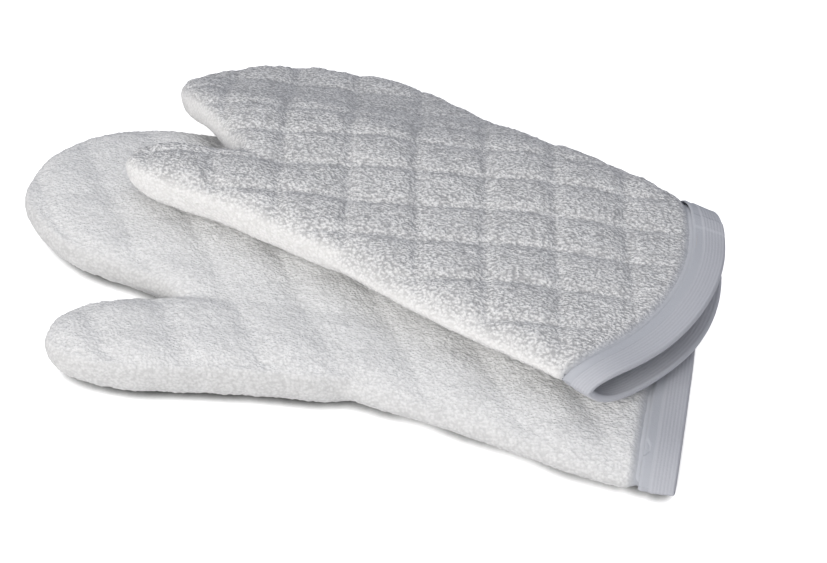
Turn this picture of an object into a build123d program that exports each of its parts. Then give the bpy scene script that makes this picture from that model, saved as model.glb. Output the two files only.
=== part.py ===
from build123d import *
import math
import os

os.makedirs("parts", exist_ok=True)

# A pair of quilted terry oven mitts, one lying across the other. Millimetres, +Z up.
# The lower mitt lies flat along X with its cuff at +X and its thumb towards -Y. The upper
# one lies across it, and its fingers hang over the far side of the lower one to the floor.

# layers of the mitt's wall, from the outside in
terry = 3.5
batting = 4.5
lining = 1.0
hand_gap = 11.0  # free height between the two linings

# cuff binding, a tape folded over the raw edge of all three layers
tape = 1.0
tape_width = 16.0

# the stitched tape presses the cuff flatter: most on top, and by its own thickness below
cuff_press = 4.5
press_end = 28.0  # distance from the cuff to which the full press reaches
press_fade = 34.0  # distance over which the wall swells back to its full height

# how the two mitts lie
palm_flat = 0.5  # how far the lower palm is pressed flat by its own weight
lie_gap = 0.6  # clearance between the two mitts
floor_gap = 0.3  # clearance under the fingers of the upper mitt
drape_start = 37.5  # Y where the upper mitt starts to bend down
drape_run = 80.0  # run along Y over which it comes down to the floor

# shape of a section across the hand or thumb
roundness = 2.9  # 2 is an ellipse, more is squarer
section_steps = 6  # spans in each half of a section
cuff_tail = 30.0  # length by which a form runs past the cuff before it is trimmed
drape_points = 13
tip_share = 0.7  # share of the widest section below which the inset shrinks with the section
reach = 260.0  # half the size of the cutting solids, past every side of the mitts

# middle of the stations' line at the cuff in X and Y, and the turn of the mitt
lower_place = (183.3, -36.3, 0.0)
upper_place = (161.3, -25.3, -15.0)

# how far the cuff's edge bows out, and how far its far corner lies behind the near one
lower_bow = 1.0
lower_skew = 10.0
upper_bow = 26.0
upper_skew = 0.0
cutter_margin = 1.25  # share by which the bowed cut runs past the cuff's corners

# stations from the cuff to the tip: distance along, thumb-side edge, far edge, fullness
lower_hand = [
    (0, -99, 87, 1.0),
    (55, -96, 88, 1.0),
    (110, -84, 91, 1.0),
    (165, -75, 94, 1.0),
    (215, -60, 97, 1.0),
    (250, -43, 99, 1.0),
    (280, -26, 100, 1.0),
    (308, -19, 99, 1.0),
    (333, -11, 93, 0.97),
    (352, 2, 81, 0.86),
    (365, 16, 65, 0.62),
    (371, 29, 52, 0.34),
]
lower_thumb = [
    (120, -60, -28, 0.75),
    (165, -73, -18, 0.95),
    (205, -79, -20, 1.0),
    (245, -86, -28, 1.0),
    (275, -91, -37, 0.98),
    (298, -90, -45, 0.87),
    (312, -84, -54, 0.64),
    (318, -76, -62, 0.36),
]
upper_hand = [
    (0, -88, 60, 1.0),
    (50, -82, 69, 1.0),
    (100, -77, 85, 1.0),
    (150, -69, 103, 1.0),
    (190, -57, 111, 1.0),
    (225, -33, 108, 1.0),
    (255, -10, 99, 1.0),
    (280, 6, 87, 0.97),
    (299, 19, 72, 0.84),
    (311, 33, 59, 0.6),
    (316, 41, 52, 0.34),
]
upper_thumb = [
    (100, -58, -34, 0.7),
    (125, -63, -26, 0.84),
    (150, -66, -19, 0.94),
    (190, -64, -17, 0.99),
    (225, -62, -20, 1.0),
    (252, -63, -27, 0.96),
    (270, -62, -34, 0.86),
    (281, -58, -40, 0.62),
    (286, -54, -45, 0.36),
]

wall = terry + batting + lining
half = wall + hand_gap / 2  # half of a mitt's thickness
lower_mid = half - palm_flat  # height of the lower mitt's seam
upper_mid = lower_mid + half + lie_gap + half  # height of the upper mitt's seam on the lower
floor_mid = half + floor_gap  # height of the upper mitt's seam at the floor


def ease(t):
    t = min(max(t, 0.0), 1.0)
    return t * t * (3 - 2 * t)


def lower_seam(y):
    return lower_mid


def upper_seam(y):
    """Height of the upper mitt's seam: level on the lower mitt, then down to the floor."""
    return upper_mid + (floor_mid - upper_mid) * ease((y - drape_start) / drape_run)


def mitt_plane(place):
    x, y, turn = place
    angle = math.radians(turn)
    return Plane(origin=(x, y, 0), x_dir=(math.cos(angle), math.sin(angle), 0), z_dir=(0, 0, 1))


def section(plane, seam, along, near, far, above, below):
    """Closed rounded outline across the mitt, following the height of its seam."""
    centre = (near + far) / 2
    width = (far - near) / 2
    across = Plane(plane.from_local_coords((-along, 0, 0)), x_dir=plane.y_dir, z_dir=plane.x_dir)
    points = []
    for i in range(2 * section_steps + 1):
        turn = math.pi * i / section_steps
        c, s = math.cos(turn), math.sin(turn)
        height = above if i <= section_steps else below
        v = centre + width * math.copysign(abs(c) ** (2 / roundness), c)
        rise = height * math.copysign(abs(s) ** (2 / roundness), s)
        y = plane.from_local_coords((-along, v, 0)).Y
        points.append((v, seam(y) + rise))
    with BuildSketch(across) as outline:
        with BuildLine():
            Spline(points[: section_steps + 1])
            Spline(points[section_steps:])
        make_face()
    return outline.sketch


def form(plane, seam, hand, thumb, inset):
    """Solid shape of hand and thumb, inset evenly from the outside of the mitt."""
    with BuildPart() as shape:
        for stations in (hand, thumb):
            length = stations[-1][0]
            widest = max(far - near for _, near, far, _ in stations) / 2
            rows = list(stations)
            if rows[0][0] == 0:
                rows.insert(0, (-cuff_tail,) + rows[0][1:])
            faces = []
            for along, near, far, fullness in rows:
                share = min(1.0, (far - near) / (2 * tip_share * widest))
                edge = inset * share
                shift = inset * max(along / length, 0.0) ** 4
                swell = ease((along - press_end) / press_fade)
                depth = fullness * (1 - inset / half)
                above = (half - cuff_press * (1 - swell)) * depth
                below = (half - (tape + palm_flat) * (1 - swell)) * depth
                faces.append(
                    section(plane, seam, along - shift, near + edge, far - edge, above, below)
                )
            loft(sections=faces)
    return shape.part


def under_seam(seam):
    """Everything below the surface in which a mitt's back and palm meet."""
    span = [-reach + 2 * reach * i / drape_points for i in range(drape_points + 1)]
    with BuildPart() as below:
        with BuildSketch(Plane.YZ.offset(-reach)):
            with BuildLine():
                top = Spline([(y, seam(y)) for y in span])
                Polyline(top @ 1, (reach, -reach), (-reach, -reach), top @ 0)
            make_face()
        extrude(amount=2 * reach)
    return below.part


def beyond_cuff(plane, hand, bow, skew, setback):
    """Everything on the fingers' side of the cuff's bowed edge, set back from it."""
    near, far = hand[0][1:3]
    half_chord = (far - near) / 2
    radius = (half_chord**2 + bow**2) / (2 * bow)
    side = half_chord * cutter_margin
    middle = bow - setback
    corner = middle - radius + math.sqrt(radius**2 - side**2)
    tilt = math.degrees(math.atan2(skew, far - near))
    origin = plane.from_local_coords((-skew / 2, (near + far) / 2, 0))
    across = Plane(origin, x_dir=plane.x_dir, z_dir=plane.z_dir).rotated((0, 0, tilt))
    with BuildPart() as region:
        with BuildSketch(across):
            with BuildLine():
                edge = ThreePointArc((corner, -side), (middle, 0), (corner, side))
                fingers = -2 * reach
                Polyline(
                    edge @ 1,
                    (corner, reach),
                    (fingers, reach),
                    (fingers, -reach),
                    (corner, -reach),
                    edge @ 0,
                )
            make_face()
        extrude(amount=reach, both=True)
    return region.part


def build_mitt(mitt, place, bow, skew, seam, hand, thumb):
    """The seven sewn pieces of one mitt, each written as its own part."""
    plane = mitt_plane(place)
    depths = (-tape, 0.0, terry, terry + batting, wall, wall + tape)
    forms = {depth: form(plane, seam, hand, thumb, depth) for depth in depths}
    fingers_side = beyond_cuff(plane, hand, bow, skew, 0.0)
    below = under_seam(seam)
    with BuildPart() as floor:
        with BuildSketch():
            Rectangle(4 * reach, 4 * reach)
        extrude(amount=-reach)

    layers = (
        ("terry", 0.0, terry),
        ("batting", terry, terry + batting),
        ("lining", terry + batting, wall),
    )
    pieces = []
    for layer, outside, inside in layers:
        for side in ("back", "palm"):
            with BuildPart() as panel:
                add(forms[outside])
                add(forms[inside], mode=Mode.SUBTRACT)
                add(fingers_side, mode=Mode.INTERSECT)
                add(below, mode=Mode.SUBTRACT if side == "back" else Mode.INTERSECT)
                if layer == "terry" and side == "palm":
                    add(floor.part, mode=Mode.SUBTRACT)
            panel.part.label = f"{mitt}_{side}_{layer}"
            pieces.append(panel.part)

    with BuildPart() as raw_edge:
        add(forms[0.0])
        add(forms[wall], mode=Mode.SUBTRACT)
        add(fingers_side, mode=Mode.INTERSECT)
    with BuildPart() as binding:
        add(forms[-tape])
        add(forms[wall + tape], mode=Mode.SUBTRACT)
        add(beyond_cuff(plane, hand, bow, skew, -tape), mode=Mode.INTERSECT)
        add(beyond_cuff(plane, hand, bow, skew, tape_width), mode=Mode.SUBTRACT)
        add(raw_edge.part, mode=Mode.SUBTRACT)
        add(floor.part, mode=Mode.SUBTRACT)
    binding.part.label = f"{mitt}_cuff_binding"
    pieces.append(binding.part)
    return pieces


parts = build_mitt(
    "lower", lower_place, lower_bow, lower_skew, lower_seam, lower_hand, lower_thumb
)
parts += build_mitt(
    "upper", upper_place, upper_bow, upper_skew, upper_seam, upper_hand, upper_thumb
)
for piece in parts:
    export_step(piece, f"parts/{piece.label}.step")
    print(piece.label, piece.is_valid, round(piece.volume), piece.bounding_box())
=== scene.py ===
import math

import bmesh
import bpy
import numpy as np
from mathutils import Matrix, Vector, noise
from mathutils.bvhtree import BVHTree


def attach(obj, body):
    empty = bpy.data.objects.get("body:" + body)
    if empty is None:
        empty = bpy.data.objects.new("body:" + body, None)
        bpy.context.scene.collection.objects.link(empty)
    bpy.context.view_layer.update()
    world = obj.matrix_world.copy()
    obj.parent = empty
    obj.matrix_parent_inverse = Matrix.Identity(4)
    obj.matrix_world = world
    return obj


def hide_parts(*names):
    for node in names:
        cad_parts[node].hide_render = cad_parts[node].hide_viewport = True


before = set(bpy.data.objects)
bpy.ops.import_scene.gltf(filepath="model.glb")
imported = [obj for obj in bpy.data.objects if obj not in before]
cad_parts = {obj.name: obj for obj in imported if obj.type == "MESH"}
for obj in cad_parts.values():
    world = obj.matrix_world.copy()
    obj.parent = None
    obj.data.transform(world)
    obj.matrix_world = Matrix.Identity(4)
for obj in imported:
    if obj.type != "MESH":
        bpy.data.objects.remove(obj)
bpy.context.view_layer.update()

scene = bpy.context.scene

# where each mitt lies, in metres and degrees: its origin at the cuff, its turn, the height of
# its seam there, the two corners of the cuff across the mitt, how fast they spread towards the
# hand, and how far the cuff's edge bows out and slants
places = {
    "lower": {
        "origin": (0.1833, -0.0363),
        "turn": 0.0,
        "seam": 0.014,
        "corners": (-0.099, 0.087),
        "spread": (0.055, 0.018),
        "bow": 0.001,
        "skew": 0.010,
    },
    "upper": {
        "origin": (0.1613, -0.0253),
        "turn": -15.0,
        "seam": 0.0436,
        "corners": (-0.088, 0.060),
        "spread": (0.12, 0.18),
        "bow": 0.026,
        "skew": 0.0,
    },
}
pastCorner = 1.15  # how far past its corners the cuff's bow is followed, in half widths
noiseShift = (17.3, 9.1, 5.7)  # how far one step of the seed moves the noise
clothGloss = 0.2


def smoothStep(low, high, value):
    t = np.clip((value - low) / (high - low), 0.0, 1.0)
    return t * t * (3.0 - 2.0 * t)


def readPoints(mesh):
    points = np.empty(len(mesh.vertices) * 3)
    mesh.vertices.foreach_get("co", points)
    return points.reshape(-1, 3)


def readNormals(mesh):
    normals = np.empty(len(mesh.vertices) * 3)
    mesh.vertex_normals.foreach_get("vector", normals)
    return normals.reshape(-1, 3)


def writePoints(mesh, points):
    mesh.vertices.foreach_set("co", points.ravel())
    mesh.update()


def readField(mesh, name):
    values = np.empty(len(mesh.vertices))
    mesh.attributes[name].data.foreach_get("value", values)
    return values


def writeField(mesh, name, values):
    field = mesh.attributes.new(name, "FLOAT", "POINT")
    field.data.foreach_set("value", values)


def noiseAt(points, sizes, seed):
    offset = Vector([seed * shift for shift in noiseShift])
    scaled = points / np.array(sizes)
    return np.array([noise.noise(Vector(p) + offset) for p in scaled])


def mittAxes(place):
    # level directions: out of the cuff, and across the mitt
    turn = math.radians(place["turn"])
    forward = np.array([math.cos(turn), math.sin(turn), 0.0])
    sideways = np.array([-math.sin(turn), math.cos(turn), 0.0])
    return forward, sideways


def alongAndAcross(mitt, points):
    # distance from the mitt's origin towards its fingers, and across it
    place = places[mitt]
    forward, sideways = mittAxes(place)
    flat = points[:, :2] - np.array(place["origin"])
    return -(flat @ forward[:2]), flat @ sideways[:2]


def cuffEdge(place, across):
    # how far along the mitt the bowed and slanting edge of its cuff lies
    near, far = place["corners"]
    t = np.clip((2.0 * across - near - far) / (far - near), -pastCorner, pastCorner)
    return place["skew"] * (across - near) / (far - near) - place["bow"] * (1.0 - t * t)


def behindCuff(mitt, along, across):
    return along - cuffEdge(places[mitt], across)


def objectFrom(bm, name):
    mesh = bpy.data.meshes.new(name)
    bm.to_mesh(mesh)
    bm.free()
    obj = bpy.data.objects.new(name, mesh)
    scene.collection.objects.link(obj)
    return obj


def joinNodes(name, nodes):
    bm = bmesh.new()
    for node in nodes:
        bm.from_mesh(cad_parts[node].data)
    bmesh.ops.remove_doubles(bm, verts=bm.verts, dist=1e-6)
    return objectFrom(bm, name)


def remeshed(obj, voxel, smoothing):
    # an even net of small faces, fine enough for the quilting and the pile to move
    remesh = obj.modifiers.new("weave", "REMESH")
    remesh.mode = "VOXEL"
    remesh.voxel_size = voxel
    graph = bpy.context.evaluated_depsgraph_get()
    mesh = bpy.data.meshes.new_from_object(obj.evaluated_get(graph))
    obj.modifiers.clear()
    obj.data = mesh
    bm = bmesh.new()
    bm.from_mesh(mesh)
    for _ in range(smoothing):
        bmesh.ops.smooth_vert(
            bm, verts=bm.verts, factor=0.5, use_axis_x=True, use_axis_y=True, use_axis_z=True
        )
    bm.to_mesh(mesh)
    bm.free()
    return mesh


def nodesTree(nodes):
    # the nodes' own surfaces, to find the nearest spot on them
    points, faces = [], []
    for node in nodes:
        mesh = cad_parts[node].data
        mesh.calc_loop_triangles()
        start = len(points)
        points += [tuple(p) for p in readPoints(mesh)]
        faces += [tuple(start + v for v in t.vertices) for t in mesh.loop_triangles]
    return BVHTree.FromPolygons(points, faces)


def dress(obj, mesh, material, mitt, slot, nodes):
    mesh.polygons.foreach_set("use_smooth", [True] * len(mesh.polygons))
    mesh.materials.clear()
    mesh.materials.append(material)
    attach(obj, f"{mitt}_mitt")
    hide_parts(*nodes)
    print(slot, obj.name, len(mesh.polygons))


def newMaterial(name, colour, roughness, sheen):
    material = bpy.data.materials.new(name)
    material.use_nodes = True
    shader = material.node_tree.nodes["Principled BSDF"]
    shader.inputs["Base Color"].default_value = (*colour, 1.0)
    shader.inputs["Roughness"].default_value = roughness
    shader.inputs["Specular IOR Level"].default_value = clothGloss
    shader.inputs["Sheen Weight"].default_value = sheen
    return material, material.node_tree, shader


def addNode(tree, kind, inputs=None, **settings):
    node = tree.nodes.new(kind)
    for name, value in settings.items():
        setattr(node, name, value)
    for name, value in (inputs or {}).items():
        if isinstance(value, bpy.types.NodeSocket):
            tree.links.new(value, node.inputs[name])
        else:
            node.inputs[name].default_value = value
    return node


def calc(tree, operation, first, second=0.0):
    return addNode(tree, "ShaderNodeMath", {0: first, 1: second}, operation=operation).outputs[0]


def mixColours(tree, share, low, high):
    # sockets 6 and 7 are the two colours of a mix node, and output 2 their mix
    return addNode(
        tree, "ShaderNodeMix", {0: share, 6: (*low, 1.0), 7: (*high, 1.0)}, data_type="RGBA"
    )


def addBump(tree, shader, height, strength, distance):
    bump = addNode(
        tree, "ShaderNodeBump", {"Height": height, "Strength": strength, "Distance": distance}
    )
    tree.links.new(bump.outputs["Normal"], shader.inputs["Normal"])


# quilted loop-pile cloth; the quilting lines run in two families, cross and long, each
# given by its slope, its step and one line's offset in the mitt's own coordinates
terry = {
    "voxel": 0.0013,
    "smoothing": 4,
    "upper": {
        "cross": {"slope": 0.53, "step": 0.0399, "offset": 0.0210, "width": 0.0034, "share": 1.0},
        "long": {"slope": 0.38, "step": 0.0273, "offset": 0.0026, "width": 0.0026, "share": 1.0},
        "puff": 0.0036,
        "crest": 0.40,
    },
    "lower": {
        "cross": {"slope": 0.72, "step": 0.0415, "offset": 0.0095, "width": 0.0075, "share": 1.0},
        "long": {"slope": 0.38, "step": 0.0300, "offset": 0.0060, "width": 0.0060, "share": 0.35},
        "puff": 0.0026,
        "crest": 0.0,
    },
    "wander": 0.0022,
    "wanderSize": 0.045,
    "dome": 0.45,
    "grooveFall": 1.5,
    "outside": (0.0012, 0.0028),
    "facing": (0.62, 0.95),
    "side": (0.30, 0.97),
    "lumpSize": 0.014,
    "lump": 0.0006,
    "tuftSize": 0.0026,
    "tuft": 0.00055,
    "loop": 0.00030,
    "pressedNap": 0.15,
    "sideCalm": 0.45,
    "pressed": (0.0165, 0.0225),
    "swell": (0.0180, 0.0420),
    "pressDepth": 0.0020,
    "squeeze": 0.0016,
    "squeezed": (0.0155, 0.0210),
    "seed": 7,
}


def lineFamily(family, position, root):
    # 0 on a line, 1 half a step away from it, and the distance to the line in metres
    phase = (position - family["offset"]) / family["step"]
    off = np.abs(phase - np.round(phase))
    return 2.0 * off, off * family["step"] / root


def quiltHeight(mitt, along, across, wander):
    own = terry[mitt]
    height = np.zeros(len(along))
    crease = np.ones(len(along))
    for name, position in (
        ("cross", along - own["cross"]["slope"] * across),
        ("long", across + own["long"]["slope"] * along),
    ):
        family = own[name]
        root = math.hypot(1.0, family["slope"])
        share, off = lineFamily(family, position + wander, root)
        # each family gives half of the dome
        height += family["share"] * 0.5 * (1.0 - (1.0 - share) ** 2)
        groove = np.exp(-((off / family["width"]) ** terry["grooveFall"]))
        crease *= 1.0 - family["share"] * groove
    return terry["dome"] * height + (1.0 - terry["dome"]) * crease


def terryShell(mitt):
    nodes = [f"{mitt}_back_terry", f"{mitt}_palm_terry"]
    obj = joinNodes(f"{mitt}TerryShell", nodes)
    mesh = remeshed(obj, terry["voxel"], terry["smoothing"])
    points, normals = readPoints(mesh), readNormals(mesh)
    tree = nodesTree([f"{mitt}_back_batting", f"{mitt}_palm_batting"])
    depth = np.array([tree.find_nearest(Vector(p))[3] for p in points])
    outer = smoothStep(*terry["outside"], depth)
    along, across = alongAndAcross(mitt, points)
    behind = behindCuff(mitt, along, across)
    own, seed = terry[mitt], terry["seed"]
    level = np.abs(normals[:, 2])
    facing = smoothStep(*terry["facing"], level)
    side = 1.0 - smoothStep(*terry["side"], level)
    calm = smoothStep(*terry["swell"], behind)
    pile = smoothStep(*terry["pressed"], behind)

    # quilting on the broad faces, lumps clear of the cuff, and tufts and loops all over
    wander = terry["wander"] * noiseAt(points, [terry["wanderSize"]] * 3, seed + 2)
    quilt = quiltHeight(mitt, along, across, wander)
    crest = np.where(normals[:, 2] > 0.0, own["crest"], 0.0)
    lumps = noiseAt(points, [terry["lumpSize"]] * 3, seed)
    tufts = noiseAt(points, [terry["tuftSize"]] * 3, seed + 1)
    loops = np.random.default_rng(seed).uniform(-1.0, 1.0, len(points))
    rise = ((quilt - 1.0 + crest) * own["puff"] * facing + lumps * terry["lump"]) * calm
    nap = terry["pressedNap"] + (1.0 - terry["pressedNap"]) * pile
    nap = nap * (1.0 - terry["sideCalm"] * side)
    rise += (tufts * terry["tuft"] + loops * terry["loop"]) * nap

    # sewn down under the tape from both faces, and never below the floor
    rise -= terry["pressDepth"] * (1.0 - pile)
    squeezed = (1.0 - smoothStep(*terry["squeezed"], behind)) * terry["squeeze"]
    points += normals * (rise * outer - squeezed * (1.0 - outer))[:, None]
    points[:, 2] = np.maximum(points[:, 2], 0.0)
    writePoints(mesh, points)
    writeField(mesh, "pile", pile)
    # side also mixes the sides' painted light and shade into the terry's colours
    writeField(mesh, "side", side)
    dress(obj, mesh, terryCloth[mitt], mitt, "terry", nodes)


# colours of the loops from the gaps between them to their tips, on the broad faces and the sides;
# the gap colours are painted shade between the loops, and the side colours are painted light and
# shade: lighter than the top on the upper mitt, darker on the lower
pileLook = {
    "roughness": 0.95,
    "sheen": 0.15,
    "loopScale": 520.0,
    "stretch": (1.0, 1.5, 1.2),
    "bend": 0.0016,
    "bendScale": 260.0,
    "clumpScale": 900.0,
    "clumpDetail": 2.0,
    "patchScale": 90.0,
    "patchDetail": 1.0,
    "patchShare": 0.25,
    "sideCalm": 0.45,
    "range": (0.85, 1.45),
    "upper": {
        "pitShade": (0.46, 0.46, 0.465),
        "tip": (0.90, 0.90, 0.895),
        "sidePitLighting": (0.76, 0.755, 0.74),
        "sideTipLighting": (0.90, 0.895, 0.885),
        "pressed": (0.48, 0.495, 0.53),
        "relief": 0.0008,
    },
    "lower": {
        "pitShade": (0.71, 0.71, 0.705),
        "tip": (0.875, 0.875, 0.87),
        "sidePitLighting": (0.57, 0.57, 0.565),
        "sideTipLighting": (0.72, 0.72, 0.715),
        "pressed": (0.49, 0.505, 0.54),
        "relief": 0.00045,
    },
}


def terryMaterial(mitt):
    look = {**pileLook, **pileLook[mitt]}
    material, tree, shader = newMaterial(
        f"{mitt}Terry", look["tip"], look["roughness"], look["sheen"]
    )
    where = addNode(tree, "ShaderNodeTexCoord").outputs["Object"]
    bend = addNode(tree, "ShaderNodeTexNoise", {"Vector": where, "Scale": look["bendScale"]})
    moved = addNode(
        tree,
        "ShaderNodeVectorMath",
        {0: bend.outputs["Color"], 1: (look["bend"],) * 3, 2: where},
        operation="MULTIPLY_ADD",
    )
    stretched = addNode(
        tree,
        "ShaderNodeVectorMath",
        {0: moved.outputs[0], 1: look["stretch"]},
        operation="MULTIPLY",
    )
    loops = addNode(
        tree, "ShaderNodeTexVoronoi", {"Vector": stretched.outputs[0], "Scale": look["loopScale"]}
    )
    clumps, patches = [
        addNode(
            tree,
            "ShaderNodeTexNoise",
            {"Vector": where, "Scale": look[f"{kind}Scale"], "Detail": look[f"{kind}Detail"]},
        ).outputs["Fac"]
        for kind in ("clump", "patch")
    ]
    pile = addNode(tree, "ShaderNodeAttribute", attribute_name="pile").outputs["Fac"]
    side = addNode(tree, "ShaderNodeAttribute", attribute_name="side").outputs["Fac"]
    height = calc(tree, "SUBTRACT", 1.0, loops.outputs["Distance"])
    height = calc(tree, "ADD", height, clumps)
    level = calc(tree, "ADD", height, calc(tree, "MULTIPLY", patches, look["patchShare"]))
    shade = addNode(
        tree,
        "ShaderNodeMapRange",
        {"Value": level, "From Min": look["range"][0], "From Max": look["range"][1]},
    )
    # painted shade: the gaps between the loops are darker than the tips, darkest on the upper
    # mitt's top
    topColour = mixColours(tree, shade.outputs[0], look["pitShade"], look["tip"])
    # painted light and shade on the sides: lighter than the top on the upper mitt, darker on the
    # lower
    sideColour = mixColours(tree, shade.outputs[0], look["sidePitLighting"], look["sideTipLighting"])
    loopColour = mixColours(tree, side, look["tip"], look["sideTipLighting"])
    tree.links.new(topColour.outputs[2], loopColour.inputs[6])
    tree.links.new(sideColour.outputs[2], loopColour.inputs[7])
    # painted shade near the cuff's edge: where the terry dips under the tape it takes a darker,
    # bluish colour
    colour = mixColours(tree, pile, look["pressed"], look["tip"])
    tree.links.new(loopColour.outputs[2], colour.inputs[7])
    tree.links.new(colour.outputs[2], shader.inputs["Base Color"])
    calm = calc(tree, "SUBTRACT", 1.0, calc(tree, "MULTIPLY", side, look["sideCalm"]))
    relief = calc(tree, "MULTIPLY", calc(tree, "MULTIPLY", height, pile), calm)
    addBump(tree, shader, relief, 1.0, look["relief"])
    return material


# ribbed tape folded over the raw edge of the cuff, with a smooth selvage along its stitching;
# the cloth in it is sewn down to the pinch, so the folded edge is thin and the mouth gapes
tape = {
    "round": 2.9,
    "above": 0.0110,
    "below": 0.0140,
    "outset": 0.0020,
    "width": 0.0160,
    "thick": 0.0007,
    "pinch": 0.0022,
    "foldBulge": 0.7,
    "around": 480,
    "alongSteps": 44,
    "foldSteps": 10,
    "hiddenStep": 6,
    "tangentStep": 3,
    "margin": 0.0012,
    "ribbed": (0.0098, 0.0112),
    "selvageDepth": 0.0005,
    "edgeDepth": 0.0005,
    "edgeRun": 0.0012,
    "ribStep": 0.00165,
    "rib": 0.00006,
    "wave": 0.0004,
    "waveSize": 0.03,
    "waveSeed": 3,
    "overlap": {"lower": (0.060, 0.070), "upper": (0.036, 0.046)},
    "overlapRise": 0.0004,
    "overlapEdge": 0.0012,
    "overlapFacing": (0.3, 0.5),
    "light": (0.53, 0.54, 0.575),
    "grooveShade": (0.45, 0.46, 0.495),
    "selvage": (0.48, 0.495, 0.53),
    "roughness": 0.85,
    "sheen": 0.1,
    "ribShade": 0.3,
    "weaveShade": 0.5,
    "weaveScale": 1300.0,
    "weaveStrength": 0.4,
    "weaveRelief": 0.0003,
}


def tapeSection():
    # distance behind the cuff's edge and depth under its outside, round the tape's section: along
    # the outside, round the fold, along the inside, and then the two faces hidden in the fold
    width, thick, step = tape["width"], tape["thick"], tape["hiddenStep"]
    radius = tape["pinch"] / 2.0 + thick
    bulge = tape["foldBulge"] * radius
    runs = np.linspace(0.0, width, tape["alongSteps"])
    outer = tape["selvageDepth"] * smoothStep(*tape["ribbed"], runs)
    outer += tape["edgeDepth"] * smoothStep(width - tape["edgeRun"], width, runs)
    turns = np.linspace(0.0, math.pi, tape["foldSteps"])[1:-1]
    section = list(zip(runs[::-1], outer[::-1]))
    section += [(-bulge * math.sin(a), radius * (1.0 - math.cos(a))) for a in turns]
    section += [(s, 2.0 * radius) for s in runs]
    section += [(s, 2.0 * radius - thick) for s in runs[::-step]]
    section += list(zip(runs[::step], outer[::step] + thick))
    return section


def cuffRing(mitt, tree, behind):
    # a ring on the outside of the cuff's solid, and the way out from it all round
    place = places[mitt]
    near, far = place["corners"]
    kept = min(max(behind, tape["margin"]), tape["width"] - tape["margin"])
    low, high = near + place["spread"][0] * kept, far + place["spread"][1] * kept
    turn = np.linspace(0.0, 2.0 * math.pi, tape["around"], endpoint=False)
    power = 2.0 / tape["round"]
    wide = np.sign(np.cos(turn)) * np.abs(np.cos(turn)) ** power
    tall = np.sign(np.sin(turn)) * np.abs(np.sin(turn)) ** power
    height = np.where(tall > 0.0, tape["above"], tape["below"]) + tape["outset"]
    across = (low + high) / 2.0 + ((high - low) / 2.0 + tape["outset"]) * wide
    forward, sideways = mittAxes(place)
    ring = -(cuffEdge(place, across) + kept)[:, None] * forward + across[:, None] * sideways
    ring[:, :2] += place["origin"]
    ring[:, 2] = place["seam"] + height * tall
    ring = np.array([tree.find_nearest(Vector(p))[0] for p in ring])
    step = tape["tangentStep"]
    tangent = np.roll(ring, -step, axis=0) - np.roll(ring, step, axis=0)
    out = np.cross(tangent, forward)
    out /= np.linalg.norm(out, axis=1)[:, None]
    return ring - (behind - kept) * forward, out


def growTape(bm, mitt):
    # ring after ring is extruded from a circle, and each goes to its place once all are made
    tree = nodesTree([f"{mitt}_cuff_binding"])
    around = tape["around"]
    behindLayer = bm.verts.layers.float.new("behind")
    shownLayer = bm.verts.layers.float.new("shown")
    hidden = (tape["pinch"] / 2.0, tape["pinch"] + 1.5 * tape["thick"])  # depths inside the fold
    verts = bmesh.ops.create_circle(bm, segments=around, radius=1.0, cap_ends=False)["verts"]
    edges = first = bm.edges[:]
    rings = {}
    spots = []
    for row, (behind, depth) in enumerate(tapeSection()):
        if row:
            grown = bmesh.ops.extrude_edge_only(bm, edges=edges)["geom"]
            verts = [g for g in grown if isinstance(g, bmesh.types.BMVert)]
            grownEdges = [g for g in grown if isinstance(g, bmesh.types.BMEdge)]
            ringVerts = set(verts)
            edges = [e for e in grownEdges if set(e.verts) <= ringVerts]
        if behind not in rings:
            rings[behind] = cuffRing(mitt, tree, behind)
        ring, out = rings[behind]
        placed = ring - out * depth
        for v in verts:
            step = round(math.atan2(v.co.y, v.co.x) / (2.0 * math.pi) * around) % around
            v[behindLayer] = behind
            v[shownLayer] = not hidden[0] <= depth <= hidden[1]
            spots.append((v, placed[step]))
    for v, spot in spots:
        v.co = spot
    bmesh.ops.bridge_loops(bm, edges=edges + first)
    bmesh.ops.recalc_face_normals(bm, faces=bm.faces)


def cuffTape(mitt):
    bm = bmesh.new()
    growTape(bm, mitt)
    obj = objectFrom(bm, f"{mitt}CuffTape")
    mesh = obj.data
    points, normals = readPoints(mesh), readNormals(mesh)
    behind, shown = readField(mesh, "behind"), readField(mesh, "shown")
    across = alongAndAcross(mitt, points)[1]
    ribs = np.cos(behind * 2.0 * math.pi / tape["ribStep"])
    ribs *= 1.0 - smoothStep(*tape["ribbed"], behind)
    start, end = tape["overlap"][mitt]
    edge = tape["overlapEdge"]
    lapped = smoothStep(start, start + edge, across) * smoothStep(end, end - edge, across)
    lapped *= smoothStep(*tape["overlapFacing"], normals[:, 2])
    points += normals * ((ribs * tape["rib"] + lapped * tape["overlapRise"]) * shown)[:, None]
    points[:, 2] += noiseAt(points, [tape["waveSize"]] * 3, tape["waveSeed"]) * tape["wave"]
    points[:, 2] = np.maximum(points[:, 2], 0.0)
    writePoints(mesh, points)
    dress(obj, mesh, tapeCloth, mitt, "binding", [f"{mitt}_cuff_binding"])


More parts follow.
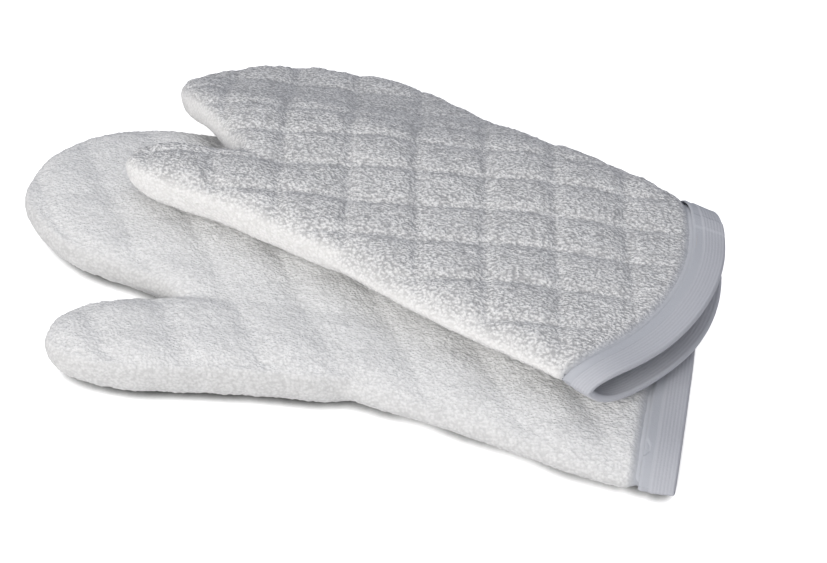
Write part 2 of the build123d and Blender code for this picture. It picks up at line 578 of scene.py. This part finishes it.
def tapeMaterial():
    material, tree, shader = newMaterial(
        "ribbedTape", tape["light"], tape["roughness"], tape["sheen"]
    )
    behind = addNode(tree, "ShaderNodeAttribute", attribute_name="behind").outputs["Fac"]
    turns = calc(tree, "MULTIPLY", behind, 2.0 * math.pi / tape["ribStep"])
    ribs = addNode(
        tree,
        "ShaderNodeMath",
        {0: calc(tree, "COSINE", turns), 1: tape["ribShade"], 2: tape["ribShade"]},
        operation="MULTIPLY_ADD",
    ).outputs[0]
    where = addNode(tree, "ShaderNodeTexCoord").outputs["Object"]
    weave = addNode(
        tree, "ShaderNodeTexNoise", {"Vector": where, "Scale": tape["weaveScale"]}
    ).outputs["Fac"]
    mixed = calc(tree, "ADD", ribs, calc(tree, "MULTIPLY", weave, tape["weaveShade"]))
    # painted shade: the grooves between the ribs, and the weave's low spots, take the darker
    # colour
    ribbed = mixColours(tree, mixed, tape["grooveShade"], tape["light"])
    low, high = tape["ribbed"]
    smooth = addNode(
        tree, "ShaderNodeMapRange", {"Value": behind, "From Min": low, "From Max": high}
    )
    colour = mixColours(tree, smooth.outputs[0], tape["light"], tape["selvage"])
    tree.links.new(ribbed.outputs[2], colour.inputs[6])
    tree.links.new(colour.outputs[2], shader.inputs["Base Color"])
    addBump(tree, shader, weave, tape["weaveStrength"], tape["weaveRelief"])
    return material


# smooth cloth inside the mitt, flared out to the folded tape and a little creased
lining = {
    "flare": (0.016, 0.050),
    "thick": 0.001,
    "clear": 0.0003,
    "squeeze": 0.0014,
    "edge": 0.007,
    "rounds": 9,
    "cutBack": 0.015,
    "crease": 0.0004,
    "creaseSizes": (0.012, 0.03, 0.012),
    "creaseSeed": 5,
    # the lining's own beige, darkened as painted shade for the inside of the mouth
    "colour": (0.52, 0.51, 0.50),
    "weaveScale": 1400.0,
    "weaveRelief": 0.0003,
}


def splitLongEdges(mesh, longest, rounds):
    # long triangles would cut across the flare
    bm = bmesh.new()
    bm.from_mesh(mesh)
    for _ in range(rounds):
        edges = [e for e in bm.edges if e.calc_length() > longest]
        if not edges:
            break
        bmesh.ops.subdivide_edges(bm, edges=edges, cuts=1)
        bmesh.ops.triangulate(bm, faces=bm.faces)
    bm.to_mesh(mesh)
    bm.free()


def drawBack(mitt, points, least):
    # whatever is nearer to the cuff's edge than the least distance moves in to it, and sideways
    # as the mitt's own edges do
    place = places[mitt]
    along, across = alongAndAcross(mitt, points)
    back = np.maximum(least - behindCuff(mitt, along, across), 0.0)
    near, far = place["corners"]
    low, high = place["spread"]
    aside = back * (low + (high - low) * ((across - near) / (far - near)))
    forward, sideways = mittAxes(place)
    points -= back[:, None] * forward - aside[:, None] * sideways


def liningSleeve(mitt):
    nodes = [f"{mitt}_back_lining", f"{mitt}_palm_lining"]
    obj = joinNodes(f"{mitt}LiningSleeve", nodes)
    mesh = obj.data
    splitLongEdges(mesh, lining["edge"], lining["rounds"])
    points, normals = readPoints(mesh), readNormals(mesh)
    behind = behindCuff(mitt, *alongAndAcross(mitt, points))
    flare = 1.0 - smoothStep(*lining["flare"], behind)
    squeezed = 1.0 - smoothStep(*terry["squeezed"], behind)
    tree = nodesTree([f"{mitt}_back_terry", f"{mitt}_palm_terry"])
    spots = np.array([tree.find_nearest(Vector(p))[0] for p in points])
    gap = np.linalg.norm(spots - points, axis=1)
    out = (spots - points) / np.maximum(gap, 1e-6)[:, None]
    inside = np.einsum("ij,ij->i", normals, out) < 0.0
    free = np.maximum(gap - lining["thick"] * inside - lining["clear"], 0.0)
    points += out * (free * flare + lining["squeeze"] * squeezed)[:, None]
    drawBack(mitt, points, lining["cutBack"])
    points[:, 2] += lining["crease"] * noiseAt(points, lining["creaseSizes"], lining["creaseSeed"])
    writePoints(mesh, points)
    dress(obj, mesh, liningCloth, mitt, "lining", nodes)


# padding between terry and lining, cut back from the stitched cuff
batting = {
    "cutBack": 0.046,
    "colour": (0.80, 0.78, 0.72),
    "weaveScale": 300.0,
    "weaveRelief": 0.001,
}


def battingPad(mitt):
    nodes = [f"{mitt}_back_batting", f"{mitt}_palm_batting"]
    obj = joinNodes(f"{mitt}BattingPad", nodes)
    mesh = obj.data
    points = readPoints(mesh)
    drawBack(mitt, points, batting["cutBack"])
    writePoints(mesh, points)
    dress(obj, mesh, battingCloth, mitt, "batting", nodes)


plainLook = {"roughness": 0.9, "sheen": 0.1, "detail": 3.0, "strength": 0.4}


def plainCloth(name, piece):
    material, tree, shader = newMaterial(
        name, piece["colour"], plainLook["roughness"], plainLook["sheen"]
    )
    where = addNode(tree, "ShaderNodeTexCoord").outputs["Object"]
    weave = addNode(
        tree,
        "ShaderNodeTexNoise",
        {"Vector": where, "Scale": piece["weaveScale"], "Detail": plainLook["detail"]},
    )
    addBump(tree, shader, weave.outputs["Fac"], plainLook["strength"], piece["weaveRelief"])
    return material


terryCloth = {mitt: terryMaterial(mitt) for mitt in places}
tapeCloth = tapeMaterial()
liningCloth = plainCloth("cottonLining", lining)
battingCloth = plainCloth("needledBatting", batting)

for mitt in places:
    terryShell(mitt)
    cuffTape(mitt)
    liningSleeve(mitt)
    battingPad(mitt)

studio = {
    "azimuth": 14.0,
    "elevation": 42.0,
    "distance": 1.05,
    "target": (0.0283, -0.0073, 0.0),
    "lens": 86.84,
    "sensorWidth": 36.0,
    "lamps": {
        "keyFront": ((-0.80, -1.35, 0.85), 0.9, 16.0, (1.0, 0.975, 0.94)),
        "fillFront": ((0.30, -1.20, 1.10), 1.2, 5.0, (1.0, 0.985, 0.965)),
        "fillTop": ((0.2, 0.5, 1.70), 1.6, 5.0, (0.90, 0.93, 1.0)),
    },
    "sky": (0.90, 0.915, 1.0),
    "skyStrength": 0.38,
    "floorSize": 6.0,
    "floor": 0.9,
    "glow": 0.85,
    # painted contact shadow on the paper: its reach, its samples, its fade and its darkest tone
    "contact": 0.009,
    "contactSamples": 16,
    "contactRange": (0.12, 0.78),
    "contactShadowTone": 0.02,
}


def addCamera():
    data = bpy.data.cameras.new("camera")
    data.lens = studio["lens"]
    data.sensor_width = studio["sensorWidth"]
    camera = bpy.data.objects.new("camera", data)
    turn, tilt = math.radians(studio["azimuth"]), math.radians(studio["elevation"])
    level = math.cos(tilt)
    forward = Vector((-math.sin(turn) * level, math.cos(turn) * level, -math.sin(tilt)))
    camera.location = Vector(studio["target"]) - forward * studio["distance"]
    camera.rotation_euler = forward.to_track_quat("-Z", "Y").to_euler()
    scene.collection.objects.link(camera)
    scene.camera = camera


def addLamps():
    for name, (place, size, power, colour) in studio["lamps"].items():
        data = bpy.data.lights.new(name, "AREA")
        data.shape = "DISK"
        data.size = size
        data.energy = power
        data.color = colour
        lamp = bpy.data.objects.new(name, data)
        lamp.location = place
        lamp.rotation_euler = (-Vector(place)).to_track_quat("-Z", "Y").to_euler()
        scene.collection.objects.link(lamp)


def seenDirectly(tree):
    # 1 for what the camera sees, also in gloss and through clear pieces, and 0 for other light
    rays = addNode(tree, "ShaderNodeLightPath").outputs
    both = calc(tree, "MAXIMUM", rays["Is Camera Ray"], rays["Is Glossy Ray"])
    return calc(tree, "MAXIMUM", both, rays["Is Transmission Ray"])


def addFloor():
    bm = bmesh.new()
    bmesh.ops.create_grid(bm, x_segments=1, y_segments=1, size=studio["floorSize"])
    floor = objectFrom(bm, "floor")
    material = bpy.data.materials.new("floorPaper")
    material.use_nodes = True
    tree = material.node_tree
    tree.nodes.clear()
    out = addNode(tree, "ShaderNodeOutputMaterial")
    path = seenDirectly(tree)
    # painted contact shadow: the paper's colour and its glow darken in the narrow gap under the
    # cloth
    closeBy = addNode(
        tree,
        "ShaderNodeAmbientOcclusion",
        {"Distance": studio["contact"]},
        samples=studio["contactSamples"],
    )
    low, high = studio["contactRange"]
    lit = addNode(
        tree,
        "ShaderNodeMapRange",
        {"Value": closeBy.outputs["AO"], "From Min": low, "From Max": high},
        interpolation_type="SMOOTHSTEP",
    ).outputs[0]
    contactShade = mixColours(tree, lit, (studio["contactShadowTone"],) * 3, (studio["floor"],) * 3)
    paper = addNode(tree, "ShaderNodeBsdfDiffuse", {"Color": contactShade.outputs[2]})
    glowing = calc(tree, "MULTIPLY", calc(tree, "MULTIPLY", path, studio["glow"]), lit)
    glow = addNode(tree, "ShaderNodeEmission", {"Strength": glowing})
    both = addNode(tree, "ShaderNodeAddShader", {0: paper.outputs[0], 1: glow.outputs[0]})
    tree.links.new(both.outputs[0], out.inputs["Surface"])
    floor.data.materials.append(material)


def addWorld():
    world = bpy.data.worlds.new("world")
    scene.world = world
    world.use_nodes = True
    tree = world.node_tree
    tree.nodes.clear()
    out = addNode(tree, "ShaderNodeOutputWorld")
    sky = addNode(
        tree,
        "ShaderNodeBackground",
        {"Color": (*studio["sky"], 1.0), "Strength": studio["skyStrength"]},
    )
    white = addNode(tree, "ShaderNodeBackground", {"Color": (1.0, 1.0, 1.0, 1.0)})
    path = seenDirectly(tree)
    mix = addNode(tree, "ShaderNodeMixShader", {0: path, 1: sky.outputs[0], 2: white.outputs[0]})
    tree.links.new(mix.outputs[0], out.inputs["Surface"])


scene.view_settings.view_transform = "Standard"
addCamera()
addFloor()
addWorld()
addLamps()
print("studio", len(studio["lamps"]), "lamps")
